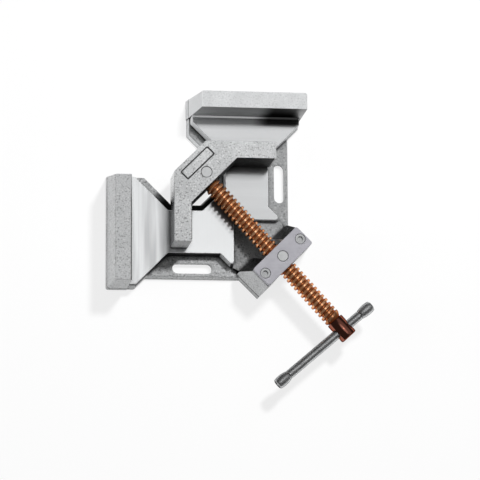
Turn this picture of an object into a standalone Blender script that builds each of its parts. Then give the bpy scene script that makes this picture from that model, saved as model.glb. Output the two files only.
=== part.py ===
"""Corner clamp that holds two bars or frame members square to each other.

One casting carries two fixed jaws at a right angle, the pads that the work lies
on, a slotted flange and a housing across the diagonal. A swivelling nut in the
housing guides a trapezoidal spindle, which pushes an L-shaped moving jaw.

Metres, +Z up. The origin lies on the nut's swivel axis, at the underside of the
casting. The casting is symmetric about the diagonal that runs from the housing
(+X, -Y) to the open corner (-X, +Y).
"""
import math

import bmesh
import bpy
from mathutils import Matrix, Vector

# Fits
GAP = 0.0003                    # between pieces that touch
RUNNING_GAP = 0.0004            # round a pin or a sliding bar
THREAD_GAP = 0.0005             # between the flanks and crests of spindle and nut

# Facets of round forms
PIN_SIDES = 12
TURN_SIDES = 16                 # turned and threaded pieces
BORE_SIDES = 24                 # trunnions, barrel and their bores
HEXAGON = 6
SLOT_STEPS = 8                  # along each round end of a slot
KNOB_STEPS = 6                  # along a knob's bulge
CORNER_STEPS = 3
SMALL_CORNER_STEPS = 2
SMOOTH_ANGLE = math.radians(40.0)
NEARLY_STRAIGHT = math.radians(88.0)

# The casting's line of symmetry, from +X towards the open corner
DIAGONAL_ANGLE = math.radians(135.0)

# Heights above the underside of the casting
FLANGE_TOP = 0.0085
WEB_TOP = 0.015
PAD_TOP = 0.022
JAW_TOP = 0.059
SPINDLE_HEIGHT = 0.037

# Fixed jaws
JAW_FACE = 0.1451               # swivel axis to the plane of each fixed jaw face
JAW_WIDTH = 0.0162              # across the top
JAW_NEAR_END = 0.0255           # end beside the housing, square to the face
JAW_FAR_END = 0.0772            # end beside the open corner, at the top
JAW_END_DRAFT = 0.0095          # how much further that end reaches at the bottom
JAW_BACK_DRAFT = 0.004

# Pads that the work lies on, and the flange round them
ARM_NEAR_EDGE = 0.0082          # edges of an arm, from the axis
ARM_FAR_EDGE = 0.0501
ARM_ROOT = 0.0423               # inner end of each arm, from the axis
PAD_FLARE_SETBACK = 0.0386      # from the jaw face back to where an arm begins to widen
TOE_REACH = 0.0129              # how far the arm's root widens beside the housing
CORNER_CUT = 0.0228             # leg of the chamfer across the open corner
PAD_DRAFT = 0.0012
FLANGE_NEAR_EDGE = 0.0145
FLANGE_FAR_EDGE = 0.0597
FAR_FLARE_SETBACK = 0.0436      # the same for the flange, on the open corner's side
NEAR_FLARE_SETBACK = 0.0176     # and on the housing's side
FLANGE_CORNER_CUT = 0.0129
FLANGE_DRAFT = 0.0016
TUCK = 0.0006                   # how far the foot's outline stays inside what stands on it
CAST_ROUND = 0.002              # radius of the casting's corners in plan
EDGE_ROUND = 0.0008             # softening along its top edges

# Fastening slots in the flange
SLOT_INSET = 0.0099             # from the flange's edge to the slot's middle line
SLOT_WIDTH = 0.0104
SLOT_NEAR_END = 0.0618
SLOT_FAR_END = 0.1012

# Cored underside
CORE_WALL = 0.006
CORE_RIB = 0.005
CORE_ROOF = 0.007
CORE_SETBACK = 0.0091           # from the jaw face to the end of an arm's pockets
CORE_CORNER = 0.0079            # from one arm's far edge to the other arm's pockets
JAW_CORE_WIDTH = 0.008
JAW_CORE_TOP = 0.050

# Housing across the diagonal; u runs to the open corner and v along the strap
CHEEK_TOP_OUT = 0.0305          # outer side of a cheek, from the axis
CHEEK_SIDE_DRAFT = 0.0045
CHEEK_BACK = 0.0109
CHEEK_FRONT = 0.0105
CHEEK_TOE = 0.0197
STRAP_THICK = 0.006
STRAP_SETBACK = 0.0004          # of the strap's ends from the cheeks' outer sides
STRAP_OVERHANG = 0.0002         # beyond the cheeks' backs
STRAP_ROUND = 0.0022
SCREW_TO_END = 0.0061           # of each screw's axis from the strap's end
SCREW_HEAD_DIA = 0.0096
SCREW_HEAD_HEIGHT = 0.0042
SCREW_SHANK_DIA = 0.006
SCREW_LENGTH = 0.0235           # below the head
SCREW_SOCKET = 0.005            # across flats of the recess
SCREW_SOCKET_DEPTH = 0.0025

# Swivelling nut
NUT_WIDTH = 0.0236              # along the strap
NUT_SIDE_ROOM = 0.0017          # on each side, between the cheeks
NUT_LENGTH = 0.019              # along the spindle
TRUNNION_DIA = 0.0100
TRUNNION_FOOT = 0.0095          # how far the lower trunnion reaches down

# Spindle
SPINDLE_ANGLE = math.radians(132.2)
SPINDLE_DIA = 0.0175
THREAD_PITCH = 0.005
THREAD_DEPTH = 0.0023
THREAD_CREST = 0.0016
THREAD_ROOT_FLAT = 0.0018
PIN_DISTANCE = 0.109            # swivel axis of the nut to that of the jaw
HEAD_DIA = 0.0175
HEAD_LENGTH = 0.0213
HEAD_END = 0.209                # outer end of the head, from the jaw's swivel axis
SHOULDER_DIA = 0.0136
SHOULDER_END = 0.0106           # where the thread begins, from the jaw's swivel axis
NECK_DIA = 0.009
NECK_TIP = 0.0062               # past the jaw's swivel axis
NECK_GROOVE_DIA = 0.0058
NECK_GROOVE_WIDTH = 0.0038
NECK_GROOVE_PLACE = -0.0012

# Thrust head in the jaw
BARREL_DIA = 0.020
BARREL_FLAT = 0.0092            # flat for the spindle's shoulder, from the axis
BARREL_TOP = 0.0475
BARREL_BOTTOM = 0.0226
HEAD_TRUNNION_DIA = 0.0104
DOWEL_DIA = 0.003
DOWEL_SPREAD = 0.0048
DOWEL_LENGTH = 0.0175

# Moving jaw, from its swivel axis
MOVING_FACE = 0.0311            # to each clamping face
LEG_WIDTH = 0.0170
LEG_END = 0.0679
OUTER_CHAMFER = 0.0308
INNER_OFFSET = 0.0111           # to the inner face across the diagonal
MOUTH_WIDTH = 0.0212
MOUTH_HEIGHT = 0.0196
MOUTH_REACH = 0.004             # how near the opening comes to the axis
MOVING_ROUND = 0.0014
PANEL_PLACE = 0.0066            # to the near side of the cast panel on its top
PANEL_WIDTH = 0.0112
PANEL_LENGTH = 0.0376
PANEL_GROOVE = 0.0009           # width of the groove round the panel
PANEL_DEPTH = 0.0009

# Sliding handle
BAR_DIA = 0.0091
BAR_HOLE_ROOM = 0.0007          # round the bar, which leans in its hole
BAR_LEAN = math.radians(-2.0)
BAR_PLACE = 0.0095              # its hole, from the outer end of the head
BAR_LONG_SIDE = 0.0840          # ends of the handle, from the spindle's axis
BAR_SHORT_SIDE = 0.0370
SPIGOT_DIA = 0.006              # of the bar's turned-down ends in the knobs
KNOB_LENGTH = 0.0145
KNOB_DIA = 0.0117
KNOB_END_DIA = 0.0098
KNOB_SOCKET = 0.0095

# Sizes that follow from others
FLARE_START = JAW_FACE - PAD_FLARE_SETBACK
SLOT_CENTRE = FLANGE_NEAR_EDGE - SLOT_INSET
CHEEK_GAP = NUT_WIDTH + 2.0 * NUT_SIDE_ROOM
STRAP_LENGTH = 2.0 * (CHEEK_TOP_OUT - STRAP_SETBACK)
STRAP_WIDTH = 2.0 * (CHEEK_BACK + STRAP_OVERHANG)
SCREW_SPREAD = STRAP_LENGTH / 2.0 - SCREW_TO_END


def clear_scene():
    """Start from an empty scene."""
    for old in list(bpy.data.objects):
        bpy.data.objects.remove(old, do_unlink=True)


def material(name, colour, roughness, metallic):
    """A Principled material of one colour."""
    made = bpy.data.materials.new(name)
    made.use_nodes = True
    shader = made.node_tree.nodes["Principled BSDF"]
    shader.inputs["Base Color"].default_value = (*colour, 1.0)
    shader.inputs["Roughness"].default_value = roughness
    shader.inputs["Metallic"].default_value = metallic
    made.diffuse_color = (*colour, 1.0)
    return made


def make_materials():
    """The finishes that the clamp's pieces wear."""
    return {
        "casting": material("cast_grey", (0.58, 0.60, 0.61), 0.45, 0.6),
        "strap": material("strap_grey", (0.42, 0.43, 0.46), 0.4, 0.7),
        "steel": material("bright_steel", (0.55, 0.56, 0.57), 0.3, 1.0),
        "copper": material("coppered_steel", (0.66, 0.28, 0.12), 0.3, 1.0),
        "dark": material("dark_steel", (0.10, 0.10, 0.11), 0.3, 0.9),
    }


def place(obj, parent=None, location=(0.0, 0.0, 0.0), turn=0.0):
    """Put an object or empty under its parent, turned about the vertical."""
    if parent is not None:
        obj.parent = parent
    obj.location = location
    obj.rotation_euler = (0.0, 0.0, turn)
    return obj


def empty(name, parent=None, location=(0.0, 0.0, 0.0), turn=0.0):
    """A guide on a joint's axis."""
    obj = bpy.data.objects.new(name, None)
    bpy.context.scene.collection.objects.link(obj)
    return place(obj, parent, location, turn)


def mesh_object(name, bm, finish=None, smooth=False):
    """Turn a bmesh into a linked object."""
    bmesh.ops.recalc_face_normals(bm, faces=bm.faces)
    mesh = bpy.data.meshes.new(name)
    bm.to_mesh(mesh)
    bm.free()
    if finish is not None:
        mesh.materials.append(finish)
    if smooth:
        mesh.shade_smooth()
        mesh.set_sharp_from_angle(angle=SMOOTH_ANGLE)
    obj = bpy.data.objects.new(name, mesh)
    bpy.context.scene.collection.objects.link(obj)
    return obj


def combine(target, tool, operation):
    """Cut a guide out of the target, or join it on, and hide the guide."""
    modifier = target.modifiers.new(tool.name, "BOOLEAN")
    modifier.operation = operation
    modifier.solver = "EXACT"
    modifier.object = tool
    tool.parent = target.parent
    tool.matrix_basis = target.matrix_basis @ tool.matrix_basis
    tool.hide_render = True
    tool.display_type = "WIRE"


def cut(target, tool):
    """Remove the tool's volume from the target."""
    combine(target, tool, "DIFFERENCE")


def join(target, tool):
    """Add the tool's volume to the target."""
    combine(target, tool, "UNION")


def mirrored(points):
    """The same outline on the other side of the diagonal, in the same sense of turn."""
    return [(-y, -x) for x, y in reversed(points)]


def diagonal(u, v):
    """World place of a point u towards the open corner and v along the strap."""
    half = math.sqrt(0.5)
    return ((v - u) * half, (v + u) * half)


def offset_outline(points, distance):
    """Move every side of a closed outline inwards, its points running clockwise."""
    moved = []
    count = len(points)
    for index in range(count):
        before = Vector(points[index - 1])
        here = Vector(points[index])
        after = Vector(points[(index + 1) % count])
        side_in = (here - before).normalized()
        side_out = (after - here).normalized()
        normal_in = Vector((side_in.y, -side_in.x))
        normal_out = Vector((side_out.y, -side_out.x))
        mitre = normal_in + normal_out
        moved.append(here + mitre * (2.0 * distance / mitre.length_squared))
    return [(point.x, point.y) for point in moved]


def round_corners(points, radius, steps=CORNER_STEPS):
    """Replace each corner of a closed outline by an arc of the given radius."""
    rounded = []
    count = len(points)
    for index in range(count):
        before = Vector(points[index - 1])
        here = Vector(points[index])
        after = Vector(points[(index + 1) % count])
        back = (before - here).normalized()
        ahead = (after - here).normalized()
        half_angle = math.acos(max(-1.0, min(1.0, back.dot(ahead)))) / 2.0
        if half_angle > NEARLY_STRAIGHT:
            rounded.append((here.x, here.y))
            continue
        reach = radius / math.tan(half_angle)
        centre = here + (back + ahead).normalized() * (radius / math.sin(half_angle))
        start = here + back * reach - centre
        end = here + ahead * reach - centre
        sweep = start.angle_signed(end)
        for step in range(steps + 1):
            angle = -sweep * step / steps
            arm = Matrix.Rotation(angle, 2) @ start
            rounded.append((centre.x + arm.x, centre.y + arm.y))
    return rounded


def stacked_outline(name, outline, levels, finish=None, radius=0.0, steps=CORNER_STEPS):
    """A solid whose sides follow one outline, inset by a given amount at each height."""
    bm = bmesh.new()
    loops = []
    for height, inset in levels:
        ring = offset_outline(outline, inset) if inset else outline
        if radius:
            ring = round_corners(ring, radius, steps)
        loops.append([bm.verts.new((x, y, height)) for x, y in ring])
    for lower, upper in zip(loops, loops[1:]):
        for index in range(len(lower)):
            after = (index + 1) % len(lower)
            bm.faces.new((lower[index], lower[after], upper[after], upper[index]))
    bm.faces.new(list(reversed(loops[0])))
    bm.faces.new(loops[-1])
    return mesh_object(name, bm, finish)


def lathe(name, profile, sides, finish=None, along=None):
    """A solid of revolution about Z from (radius, height) points, top to bottom."""
    bm = bmesh.new()
    rings = []
    for radius, height in profile:
        ring = []
        for side in range(sides):
            angle = 2.0 * math.pi * side / sides
            ring.append(bm.verts.new((radius * math.cos(angle), radius * math.sin(angle), height)))
        rings.append(ring)
    bridge_rings(bm, rings)
    bm.faces.new(rings[0])
    bm.faces.new(list(reversed(rings[-1])))
    if along is not None:
        turn = Vector((0.0, 0.0, 1.0)).rotation_difference(Vector(along)).to_matrix().to_4x4()
        bm.transform(turn)
    return mesh_object(name, bm, finish, smooth=True)


def bridge_rings(bm, rings):
    """Join rings of equal count by a band of faces."""
    for first, second in zip(rings, rings[1:]):
        count = len(first)
        for side in range(count):
            after = (side + 1) % count
            bm.faces.new((first[side], first[after], second[after], second[side]))


def cylinder(name, diameter, bottom, top, sides=TURN_SIDES, centre=(0.0, 0.0)):
    """A plain round guide or cutter standing on the XY plane."""
    tool = lathe(name, [(diameter / 2.0, top), (diameter / 2.0, bottom)], sides)
    tool.location = (centre[0], centre[1], 0.0)
    return tool


def box(name, low, high):
    """A plain rectangular cutter between two corners."""
    outline = [(low[0], low[1]), (low[0], high[1]), (high[0], high[1]), (high[0], low[1])]
    return stacked_outline(name, outline, [(low[2], 0.0), (high[2], 0.0)])


def flange_outline():
    """Plan of the casting's foot, clockwise from the open corner."""
    jaw_back = JAW_FACE + JAW_WIDTH + JAW_BACK_DRAFT - TUCK
    jaw_far = JAW_FAR_END + JAW_END_DRAFT - TUCK
    jaw_near = JAW_NEAR_END - TUCK
    flare = jaw_far - FLANGE_FAR_EDGE
    near_flare = jaw_near - FLANGE_NEAR_EDGE
    far_start = JAW_FACE - FAR_FLARE_SETBACK
    near_start = JAW_FACE - NEAR_FLARE_SETBACK
    side = CHEEK_TOP_OUT + CHEEK_SIDE_DRAFT - TUCK
    side_line = side * math.sqrt(2.0)
    half = [
        (-FLANGE_FAR_EDGE, FLANGE_FAR_EDGE + FLANGE_CORNER_CUT),
        (-FLANGE_FAR_EDGE, far_start),
        (-jaw_far, far_start + flare),
        (-jaw_far, jaw_back),
        (jaw_near, jaw_back),
        (jaw_near, near_start + near_flare),
        (FLANGE_NEAR_EDGE, near_start),
        (FLANGE_NEAR_EDGE, side_line - FLANGE_NEAR_EDGE),
        diagonal(TUCK - CHEEK_BACK, side),
    ]
    return half + mirrored(half)


def pad_outline():
    """Plan of the raised pads, clockwise from the open corner."""
    end_at_pad = JAW_FAR_END + JAW_END_DRAFT * (JAW_TOP - PAD_TOP) / JAW_TOP
    flare_far = end_at_pad - TUCK - ARM_FAR_EDGE
    flare_near = JAW_NEAR_END - 2.0 * TUCK - PAD_DRAFT + ARM_NEAR_EDGE
    under_jaw = JAW_FACE + JAW_WIDTH / 2.0
    half = [
        (-ARM_FAR_EDGE, ARM_FAR_EDGE + CORNER_CUT),
        (-ARM_FAR_EDGE, FLARE_START),
        (-ARM_FAR_EDGE - flare_far, FLARE_START + flare_far),
        (-ARM_FAR_EDGE - flare_far, under_jaw),
        (-ARM_NEAR_EDGE + flare_near, under_jaw),
        (-ARM_NEAR_EDGE + flare_near, FLARE_START + flare_near),
        (-ARM_NEAR_EDGE, FLARE_START),
        (-ARM_NEAR_EDGE, ARM_ROOT + TOE_REACH),
        (-ARM_NEAR_EDGE + TOE_REACH, ARM_ROOT),
    ]
    return half + [(-ARM_ROOT, ARM_ROOT)] + mirrored(half)


def web_outline():
    """Plan of the lower floor between the arms and under the housing."""
    side = CHEEK_TOP_OUT
    half = [
        (-ARM_NEAR_EDGE, ARM_ROOT + EDGE_ROUND),
        (-ARM_NEAR_EDGE + TOE_REACH, ARM_ROOT),
        diagonal(CHEEK_TOE - TUCK, side),
        diagonal(-CHEEK_BACK + TUCK, side),
    ]
    corner = (-ARM_ROOT - PAD_DRAFT, ARM_ROOT + PAD_DRAFT)
    return [corner] + half + mirrored(half)


def fixed_jaw(name):
    """One fixed jaw: square clamping face and near end, drafted back and far end."""
    bm = bmesh.new()
    loops = []
    soft = EDGE_ROUND
    for height, end_in, back_in in (
            (0.0, 0.0, 0.0),
            (JAW_TOP - soft, 0.0, 0.0),
            (JAW_TOP, soft, soft)):
        rise = height / JAW_TOP
        far = -JAW_FAR_END - JAW_END_DRAFT * (1.0 - rise) + end_in
        back = JAW_FACE + JAW_WIDTH + JAW_BACK_DRAFT * (1.0 - rise) - back_in
        near = JAW_NEAR_END - end_in
        ring = [(far, JAW_FACE), (far, back), (near, back), (near, JAW_FACE)]
        loops.append([bm.verts.new((x, y, height)) for x, y in ring])
    for lower, upper in zip(loops, loops[1:]):
        for index in range(4):
            after = (index + 1) % 4
            bm.faces.new((lower[index], lower[after], upper[after], upper[index]))
    bm.faces.new(list(reversed(loops[0])))
    bm.faces.new(loops[-1])
    corners = [edge for edge in bm.edges
               if abs(edge.verts[0].co.z - edge.verts[1].co.z) > JAW_TOP / 2.0
               and min(edge.verts[0].co.y, edge.verts[1].co.y) > JAW_FACE + soft]
    bmesh.ops.bevel(bm, geom=corners, offset=CAST_ROUND, segments=CORNER_STEPS, profile=0.5,
                    affect="EDGES", clamp_overlap=True)
    return mesh_object(name, bm)


def reflect_across_diagonal(obj):
    """Swap a guide's mesh to the other side of the casting's diagonal."""
    swap = Matrix(((0.0, -1.0, 0.0, 0.0), (-1.0, 0.0, 0.0, 0.0),
                   (0.0, 0.0, 1.0, 0.0), (0.0, 0.0, 0.0, 1.0)))
    obj.data.transform(swap)
    obj.data.flip_normals()


def cheek(name, side):
    """One wall of the housing, with a sloping toe in front and a drafted outer side."""
    bm = bmesh.new()
    strap_seat = JAW_TOP - STRAP_THICK
    profile = [
        (-CHEEK_BACK, 0.0),
        (-CHEEK_BACK, strap_seat),
        (CHEEK_FRONT, strap_seat),
        (CHEEK_TOE, PAD_TOP),
        (CHEEK_TOE, 0.0),
    ]
    loops = []
    for outer in (False, True):
        ring = []
        for u, height in profile:
            drop = (strap_seat - height) / strap_seat
            v = CHEEK_TOP_OUT + CHEEK_SIDE_DRAFT * drop if outer else CHEEK_GAP / 2.0
            x, y = diagonal(u, side * v)
            ring.append(bm.verts.new((x, y, height)))
        loops.append(ring)
    bridge_rings(bm, loops)
    bm.faces.new(loops[0])
    bm.faces.new(list(reversed(loops[1])))
    return mesh_object(name, bm)


def slot_cutter(name):
    """A fastening slot with round ends, in the flange beside the upper arm."""
    reach = SLOT_WIDTH / 2.0
    outline = []
    for centre, start in ((SLOT_FAR_END - reach, math.pi), (SLOT_NEAR_END + reach, 0.0)):
        for step in range(SLOT_STEPS + 1):
            angle = start - math.pi * step / SLOT_STEPS
            outline.append((SLOT_CENTRE + reach * math.cos(angle), centre + reach * math.sin(angle)))
    return stacked_outline(name, outline, [(-FLANGE_TOP, 0.0), (2.0 * FLANGE_TOP, 0.0)])


def arm_core(name, inner_edge, width):
    """One pocket that the foundry's core leaves under an arm."""
    low = (inner_edge, ARM_FAR_EDGE + CORE_CORNER)
    high = (inner_edge + width, JAW_FACE - CORE_SETBACK)
    outline = [low, (low[0], high[1]), high, (high[0], low[1])]
    return stacked_outline(name, outline, [(-FLANGE_TOP, 0.0), (PAD_TOP - CORE_ROOF, 0.0)],
                           radius=CAST_ROUND, steps=SMALL_CORNER_STEPS)


def jaw_core(name):
    """The pocket under a fixed jaw."""
    middle = JAW_FACE + JAW_WIDTH / 2.0
    low = (-JAW_FAR_END + CORE_WALL, middle - JAW_CORE_WIDTH / 2.0)
    high = (JAW_NEAR_END - CORE_WALL, middle + JAW_CORE_WIDTH / 2.0)
    outline = [low, (low[0], high[1]), high, (high[0], low[1])]
    return stacked_outline(name, outline, [(-FLANGE_TOP, 0.0), (JAW_CORE_TOP, 0.0)],
                           radius=CAST_ROUND, steps=SMALL_CORNER_STEPS)


def build_casting(finish):
    """The one casting: flange, pads, web, two jaws and the housing's cheeks."""
    casting = stacked_outline("base_casting", flange_outline(), [
        (0.0, 0.0), (FLANGE_TOP - EDGE_ROUND, FLANGE_DRAFT),
        (FLANGE_TOP, FLANGE_DRAFT + EDGE_ROUND)], finish, CAST_ROUND)
    join(casting, stacked_outline("pads", pad_outline(), [
        (EDGE_ROUND, -PAD_DRAFT), (PAD_TOP - EDGE_ROUND / 2.0, 0.0),
        (PAD_TOP, EDGE_ROUND / 2.0)], radius=CAST_ROUND))
    join(casting, stacked_outline("web", web_outline(), [
        (EDGE_ROUND / 2.0, 0.0), (WEB_TOP, 0.0)]))
    pocket_width = (ARM_FAR_EDGE - ARM_NEAR_EDGE - 2.0 * CORE_WALL - CORE_RIB) / 2.0
    for label, reflect in (("upper", False), ("left", True)):
        jaw = fixed_jaw(label + "_fixed_jaw")
        tools = [slot_cutter(label + "_slot"), jaw_core(label + "_jaw_core")]
        for index in range(2):
            edge = -ARM_FAR_EDGE + CORE_WALL + index * (pocket_width + CORE_RIB)
            tools.append(arm_core(label + "_arm_core_" + str(index + 1), edge, pocket_width))
        if reflect:
            for guide in [jaw] + tools:
                reflect_across_diagonal(guide)
        join(casting, jaw)
        for tool in tools:
            cut(casting, tool)
    for label, side in (("left", -1.0), ("right", 1.0)):
        join(casting, cheek(label + "_cheek", side))
        x, y = diagonal(0.0, side * SCREW_SPREAD)
        hole = SCREW_SHANK_DIA + 2.0 * GAP
        bottom = JAW_TOP - SCREW_HEAD_HEIGHT - SCREW_LENGTH - GAP
        cut(casting, cylinder(label + "_tapped_hole", hole, bottom, JAW_TOP, PIN_SIDES, (x, y)))
    socket = TRUNNION_DIA + 2.0 * RUNNING_GAP
    cut(casting, cylinder("trunnion_socket", socket, WEB_TOP - TRUNNION_FOOT - GAP, WEB_TOP + GAP,
                          BORE_SIDES))
    return casting


def build_strap(finish):
    """The cover strap that closes the housing and holds the nut's upper trunnion."""
    corners = [(-STRAP_WIDTH / 2.0, -STRAP_LENGTH / 2.0), (-STRAP_WIDTH / 2.0, STRAP_LENGTH / 2.0),
               (STRAP_WIDTH / 2.0, STRAP_LENGTH / 2.0), (STRAP_WIDTH / 2.0, -STRAP_LENGTH / 2.0)]
    soft = EDGE_ROUND / 2.0
    seat = JAW_TOP - STRAP_THICK + GAP
    strap = stacked_outline("cover_strap", corners, [
        (seat, soft), (seat + soft, 0.0), (JAW_TOP - soft, 0.0), (JAW_TOP, soft)],
        finish, STRAP_ROUND)
    strap.rotation_euler = (0.0, 0.0, DIAGONAL_ANGLE - math.pi)
    hole = TRUNNION_DIA + 2.0 * RUNNING_GAP
    cut(strap, cylinder("trunnion_hole", hole, seat - soft, JAW_TOP + soft, BORE_SIDES))
    for label, side in (("left", -1.0), ("right", 1.0)):
        bore = SCREW_SHANK_DIA + 2.0 * RUNNING_GAP
        counterbore = SCREW_HEAD_DIA + 2.0 * GAP
        below = JAW_TOP - SCREW_HEAD_HEIGHT - GAP
        profile = [(counterbore / 2.0, JAW_TOP + soft), (counterbore / 2.0, below),
                   (bore / 2.0, below), (bore / 2.0, seat - soft)]
        tool = lathe(label + "_counterbore", profile, TURN_SIDES)
        tool.location = (0.0, side * SCREW_SPREAD, 0.0)
        cut(strap, tool)
    return strap


def build_screw(name, side, finish):
    """A socket screw, its head flush in the strap's counterbore."""
    radius = SCREW_HEAD_DIA / 2.0
    shank = SCREW_SHANK_DIA / 2.0
    top = JAW_TOP - GAP
    under_head = JAW_TOP - SCREW_HEAD_HEIGHT
    soft = EDGE_ROUND / 2.0
    profile = [(radius - soft, top), (radius, top - soft), (radius, under_head),
               (shank, under_head), (shank, under_head - SCREW_LENGTH + soft),
               (shank - soft, under_head - SCREW_LENGTH)]
    screw = lathe(name, profile, TURN_SIDES, finish)
    x, y = diagonal(0.0, side * SCREW_SPREAD)
    screw.location = (x, y, 0.0)
    socket = SCREW_SOCKET / math.cos(math.pi / HEXAGON)
    cut(screw, cylinder(name + "_socket", socket, top - SCREW_SOCKET_DEPTH, JAW_TOP + soft, HEXAGON))
    return screw


def tooth_profile(radius, depth, crest, root_flat, pitch):
    """One pitch of a trapezoidal thread as (offset along the axis, radius) points."""
    flank = (pitch - crest - root_flat) / 2.0
    root = radius - depth
    return [(0.0, radius), (crest, radius), (crest + flank, root), (crest + flank + root_flat, root)]


def threaded_rod(name, turned_start, turned_end, thread, start, turns, sides, finish=None):
    """A rod along X: turned rings, a right-hand thread, and turned rings again.

    turned_start and turned_end are (radius, place) points of the plain stretches.
    The thread's points climb one pitch a turn, so that the last point of one turn
    is the first of the next.
    """
    bm = bmesh.new()
    pitch = THREAD_PITCH

    def ring(radius, place_x):
        return [bm.verts.new((place_x, radius * math.sin(2.0 * math.pi * side / sides),
                              -radius * math.cos(2.0 * math.pi * side / sides)))
                for side in range(sides)]

    rows = len(thread) * turns + 1
    columns = []
    for side in range(sides):
        angle = 2.0 * math.pi * side / sides
        column = []
        for row in range(rows):
            along, radius = thread[row % len(thread)]
            place_x = start + pitch * (row // len(thread) + side / sides) + along
            column.append(bm.verts.new((place_x, radius * math.sin(angle), -radius * math.cos(angle))))
        columns.append(column)
    first = [ring(radius, place_x) for radius, place_x in turned_start]
    last = [ring(radius, place_x) for radius, place_x in turned_end]
    bridge_rings(bm, first)
    bridge_rings(bm, last)
    lead = len(thread)
    for side in range(sides - 1):
        for row in range(rows - 1):
            bm.faces.new((columns[side][row], columns[side + 1][row],
                          columns[side + 1][row + 1], columns[side][row + 1]))
        bm.faces.new((first[-1][side], first[-1][side + 1], columns[side + 1][0], columns[side][0]))
        bm.faces.new((columns[side][-1], columns[side + 1][-1], last[0][side + 1], last[0][side]))
    seam = columns[-1]
    for row in range(rows - 1 - lead):
        bm.faces.new((seam[row], columns[0][row + lead], columns[0][row + lead + 1], seam[row + 1]))
    for row in range(lead):
        bm.faces.new((seam[0], columns[0][row], columns[0][row + 1]))
    bm.faces.new((first[-1][-1], first[-1][0], columns[0][0], seam[0]))
    for row in range(lead):
        bm.faces.new((columns[0][-1], seam[rows - 1 - lead + row + 1], seam[rows - 1 - lead + row]))
    bm.faces.new((seam[-1], columns[0][-1], last[0][0], last[0][-1]))
    bm.faces.new(first[0])
    bm.faces.new(list(reversed(last[-1])))
    bmesh.ops.triangulate(bm, faces=[face for face in bm.faces if len(face.verts) == 4])
    return mesh_object(name, bm, finish, smooth=True)


def spindle_thread(gap=0.0):
    """The spindle's tooth, or the nut's groove for it when a gap is given."""
    return tooth_profile(SPINDLE_DIA / 2.0 + gap, THREAD_DEPTH,
                         THREAD_CREST + 2.0 * gap, THREAD_ROOT_FLAT - 2.0 * gap, THREAD_PITCH)


def thread_start():
    """Where the first turn of the spindle's thread leaves its shoulder."""
    return -SHOULDER_END - THREAD_ROOT_FLAT


def build_nut(finish, line):
    """The swivelling nut: a block with a trunnion above and below, tapped through."""
    corners = [(-NUT_LENGTH / 2.0, -NUT_WIDTH / 2.0), (-NUT_LENGTH / 2.0, NUT_WIDTH / 2.0),
               (NUT_LENGTH / 2.0, NUT_WIDTH / 2.0), (NUT_LENGTH / 2.0, -NUT_WIDTH / 2.0)]
    bottom = WEB_TOP + GAP
    top = JAW_TOP - STRAP_THICK - GAP
    soft = EDGE_ROUND / 2.0
    nut = stacked_outline("swivel_nut", corners, [
        (bottom, soft), (bottom + soft, 0.0), (top - soft, 0.0), (top, soft)],
        finish, CAST_ROUND, SMALL_CORNER_STEPS)
    place(nut, line)
    radius = TRUNNION_DIA / 2.0
    upper = [(radius - soft, JAW_TOP - GAP), (radius, JAW_TOP - GAP - soft), (radius, top - soft)]
    lower = [(radius, bottom + soft), (radius, WEB_TOP - TRUNNION_FOOT + soft),
             (radius - soft, WEB_TOP - TRUNNION_FOOT)]
    join(nut, lathe("upper_trunnion", upper, BORE_SIDES))
    join(nut, lathe("lower_trunnion", lower, BORE_SIDES))
    groove = spindle_thread(THREAD_GAP)
    root = SPINDLE_DIA / 2.0 - THREAD_DEPTH + THREAD_GAP
    turns = math.ceil(NUT_LENGTH / THREAD_PITCH) + 2
    lead = PIN_DISTANCE + thread_start()
    start = lead - THREAD_PITCH * math.ceil((lead + NUT_LENGTH / 2.0) / THREAD_PITCH + 1)
    start -= THREAD_GAP
    end = start + THREAD_PITCH * (turns + 1)
    ends = THREAD_PITCH / 4.0
    tap = threaded_rod("tap", [(root, start - 2.0 * ends), (root, start - ends)],
                       [(root, end + ends), (root, end + 2.0 * ends)],
                       groove, start, turns, TURN_SIDES)
    tap.location = (0.0, 0.0, SPINDLE_HEIGHT)
    cut(nut, tap)
    return nut


def build_spindle(finish, line):
    """The spindle in one piece: neck, shoulder, thread and cross-drilled head."""
    tip = NECK_TIP
    neck = NECK_DIA / 2.0
    groove = NECK_GROOVE_DIA / 2.0
    soft = EDGE_ROUND
    thread = spindle_thread()
    root = SPINDLE_DIA / 2.0 - THREAD_DEPTH
    groove_front = NECK_GROOVE_PLACE + NECK_GROOVE_WIDTH / 2.0
    groove_back = NECK_GROOVE_PLACE - NECK_GROOVE_WIDTH / 2.0
    shoulder_face = -BARREL_FLAT - GAP
    head = HEAD_DIA / 2.0
    head_front = -HEAD_END + HEAD_LENGTH
    turned_end = [(root, -SHOULDER_END), (SHOULDER_DIA / 2.0, -SHOULDER_END),
                  (SHOULDER_DIA / 2.0, shoulder_face), (neck, shoulder_face),
                  (neck, groove_back), (groove, groove_back), (groove, groove_front),
                  (neck, groove_front), (neck, tip - soft), (neck - soft, tip)]
    turned_start = [(head - soft, -HEAD_END), (head, -HEAD_END + soft), (head, head_front - soft),
                    (head - soft, head_front), (root, head_front)]
    turns = math.floor((thread_start() - head_front) / THREAD_PITCH) - 1
    start = thread_start() - THREAD_PITCH * (turns + 1)
    spindle = threaded_rod("spindle", turned_start, turned_end, thread, start, turns,
                           TURN_SIDES, finish)
    place(spindle, line, (PIN_DISTANCE, 0.0, SPINDLE_HEIGHT))
    hole = BAR_DIA / 2.0 + BAR_HOLE_ROOM
    bar_hole = lathe("bar_hole", [(hole, HEAD_DIA), (hole, -HEAD_DIA)], TURN_SIDES,
                     along=(0.0, 1.0, 0.0))
    bar_hole.location = (-HEAD_END + BAR_PLACE, 0.0, 0.0)
    cut(spindle, bar_hole)
    return spindle


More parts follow.
